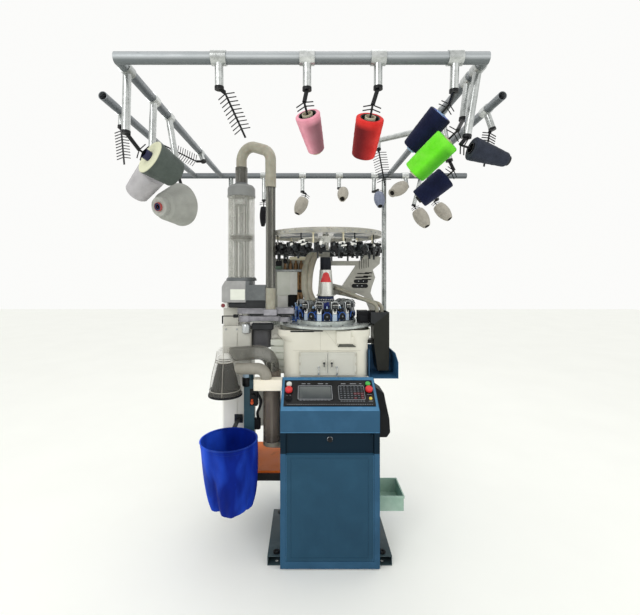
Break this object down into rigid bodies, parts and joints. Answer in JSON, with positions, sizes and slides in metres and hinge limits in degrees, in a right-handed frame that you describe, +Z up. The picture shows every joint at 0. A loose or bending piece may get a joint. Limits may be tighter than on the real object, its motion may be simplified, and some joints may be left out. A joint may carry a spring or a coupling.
{
  "type": "industrial knitting machine",
  "caption": "Circular sock knitting machine with a slanted console on a blue cabinet, an overhead yarn creel, a sock transfer column and a hanging collecting bag.",
  "frame": {"origin": "on the floor under the middle of the yarn creel", "axes": "+X to the operator's right, +Y to the rear, +Z up"},
  "size_m": [2.668, 1.7738, 2.378],
  "materials": {
    "zinc_tube": "zinc-plated, lightly scratched",
    "tube_alloy": "dull alloy",
    "black_plastic": "moulded, matt",
    "pink_yarn": "wound yarn",
    "red_yarn": "wound yarn",
    "green_yarn": "wound yarn",
    "dark_yarn": "wound yarn",
    "cream_yarn": "wound yarn",
    "white_yarn": "wound yarn",
    "dark_steel": "dark paint, dusty",
    "blue_grey_paint": "satin paint",
    "blue_paint": "satin paint",
    "bright_steel": "machined",
    "console_plastic": "dark membrane face",
    "white_plastic": "moulded",
    "green_plastic": "moulded",
    "red_plastic": "moulded",
    "cream_paint": "satin paint",
    "bed_metal": "machined plate",
    "motor_alloy": "cast housing",
    "blue_plastic": "anodised blue and steel",
    "finger_alloy": "machined",
    "cover_alloy": "turned cover",
    "grey_casting": "painted casting",
    "clear_plastic": "clear acrylic",
    "ring_alloy": "ring with dark units",
    "grey_paint": "grey paint",
    "guide_steel": "plated",
    "slider_alloy": "machined",
    "mesh_plastic": "woven mesh",
    "hose_plastic": "flexible hose",
    "bag_cloth": "thin woven cloth",
    "teal_paint": "satin paint",
    "chute_sheet": "dark paint",
    "tray_blue": "light blue paint",
    "crate_plastic": "moulded crate"
  },
  "bodies": {
    "frame": {"air_post": "teal_paint", "bag_ring": "bright_steel", "base_rails": "dark_steel", "bed_plate": "bed_metal", "cabinet_shell": "blue_paint", "cam_boxes": "blue_plastic", "clear_cylinder": "clear_plastic", "clear_ducts": "clear_plastic", "collector_bell": "clear_plastic", "cone_cream": "cream_yarn", "cone_green": "green_yarn", "cone_holders": "black_plastic", "cone_pink": "pink_yarn", "cone_red": "red_yarn", "cones_dark": "dark_yarn", "cones_white": "white_yarn", "control_fascia": "console_plastic", "cream_box": "cream_paint", "creel_drop_tubes": "tube_alloy", "creel_posts": "zinc_tube", "creel_tubes": "zinc_tube", "drive_belt": "black_plastic", "drive_box": "cream_paint", "drive_motor": "motor_alloy", "ducts": "hose_plastic", "green_crate": "crate_plastic", "head_bracket": "grey_casting", "linker_housing": "grey_paint", "linker_pillar": "grey_paint", "machine_housing": "blue_grey_paint", "mesh_cone": "mesh_plastic", "rear_bobbins": "white_yarn", "shelf_frame": "dark_steel", "shroud": "cream_paint", "side_box": "black_plastic", "side_tray": "tray_blue", "sock_bag": "bag_cloth", "tension_ring": "ring_alloy", "top_disc": "clear_plastic", "transport_guides": "guide_steel", "valve_block": "black_plastic", "waste_chute": "chute_sheet", "yarn_finger_units": "finger_alloy"},
    "cylinder": {"needle_cylinder": "bright_steel"},
    "motor_wheel": {"motor_pulley": "bright_steel"},
    "dial_head": {"dial_cover": "cover_alloy", "dial_motor": "black_plastic"},
    "dial_plate": {"dial": "bright_steel"},
    "door": {"cabinet_door": "blue_paint"},
    "lock": {"door_lock": "bright_steel"},
    "white_cap": {"white_button": "white_plastic"},
    "green_cap": {"green_button": "green_plastic"},
    "stop_left_cap": {"stop_button_left": "red_plastic"},
    "stop_right_cap": {"stop_button_right": "red_plastic"},
    "knob": {"selector_knob": "black_plastic"},
    "arm": {"transfer_arm": "slider_alloy"},
    "slider": {"transport_slider": "slider_alloy"},
    "gate": {"sock_gate": "black_plastic"},
    "left_leaf": {"hatch_left": "cream_paint"},
    "right_leaf": {"hatch_right": "cream_paint"}
  },
  "joints": [
    {"name": "cylinder_spin", "type": "hinge", "parent": "frame", "child": "cylinder", "pos_m": [0.14, 0.17, 1.2], "axis": [0, 0, 1], "continuous": true},
    {"name": "motor_spin", "type": "hinge", "parent": "frame", "child": "motor_wheel", "pos_m": [0.14, 0.342, 1.158], "axis": [0, 0, 1], "continuous": true},
    {"name": "dial_lift", "type": "slide", "parent": "frame", "child": "dial_head", "axis": [0, 0, 1], "range_m": [0, 0.04]},
    {"name": "dial_spin", "type": "hinge", "parent": "dial_head", "child": "dial_plate", "pos_m": [0.14, 0.17, 1.36], "axis": [0, 0, 1], "continuous": true},
    {"name": "door_hinge", "type": "hinge", "parent": "frame", "child": "door", "pos_m": [0.361, -0.295, 0.38], "axis": [0, 0, 1], "range_deg": [0, 100]},
    {"name": "lock_turn", "type": "hinge", "parent": "door", "child": "lock", "pos_m": [0.14, -0.29, 0.675], "axis": [0, 1, 0], "range_deg": [0, 90]},
    {"name": "white_press", "type": "slide", "parent": "frame", "child": "white_cap", "axis": [0, 0.5343, -0.8453], "range_m": [0, 0.004], "stiffness_N_per_m": 350, "springref_m": -0.003},
    {"name": "green_press", "type": "slide", "parent": "frame", "child": "green_cap", "axis": [0, 0.5343, -0.8453], "range_m": [0, 0.004], "stiffness_N_per_m": 350, "springref_m": -0.003},
    {"name": "stop_left_press", "type": "slide", "parent": "frame", "child": "stop_left_cap", "axis": [0, 0.5343, -0.8453], "range_m": [0, 0.006], "stiffness_N_per_m": 350, "springref_m": -0.003},
    {"name": "stop_right_press", "type": "slide", "parent": "frame", "child": "stop_right_cap", "axis": [0, 0.5343, -0.8453], "range_m": [0, 0.006], "stiffness_N_per_m": 350, "springref_m": -0.003},
    {"name": "knob_turn", "type": "hinge", "parent": "frame", "child": "knob", "pos_m": [-0.079, -0.23959, 0.87092], "axis": [0, -0.5343, 0.8453], "range_deg": [0, 90]},
    {"name": "transfer_swing", "type": "hinge", "parent": "frame", "child": "arm", "pos_m": [-0.357, 0.07, 1.268], "axis": [0, 0, 1], "range_deg": [-80, 0]},
    {"name": "slider_travel", "type": "slide", "parent": "frame", "child": "slider", "axis": [0, 0, 1], "range_m": [-0.23, 0.16]},
    {"name": "gate_swing", "type": "hinge", "parent": "frame", "child": "gate", "pos_m": [-0.442, -0.029, 0.8627], "axis": [1, 0, 0], "range_deg": [0, 60]},
    {"name": "hatch_left_hinge", "type": "hinge", "parent": "frame", "child": "left_leaf", "pos_m": [-0.02, -0.0893, 1.024], "axis": [0, 0, -1], "range_deg": [0, 100]},
    {"name": "hatch_right_hinge", "type": "hinge", "parent": "frame", "child": "right_leaf", "pos_m": [0.3, -0.0893, 1.024], "axis": [0, 0, 1], "range_deg": [0, 100]}
  ],
  "couplings": [
    {"joint": "motor_spin", "follows": "cylinder_spin", "ratio": 2.5},
    {"joint": "dial_spin", "follows": "cylinder_spin", "ratio": 1}
  ]
}
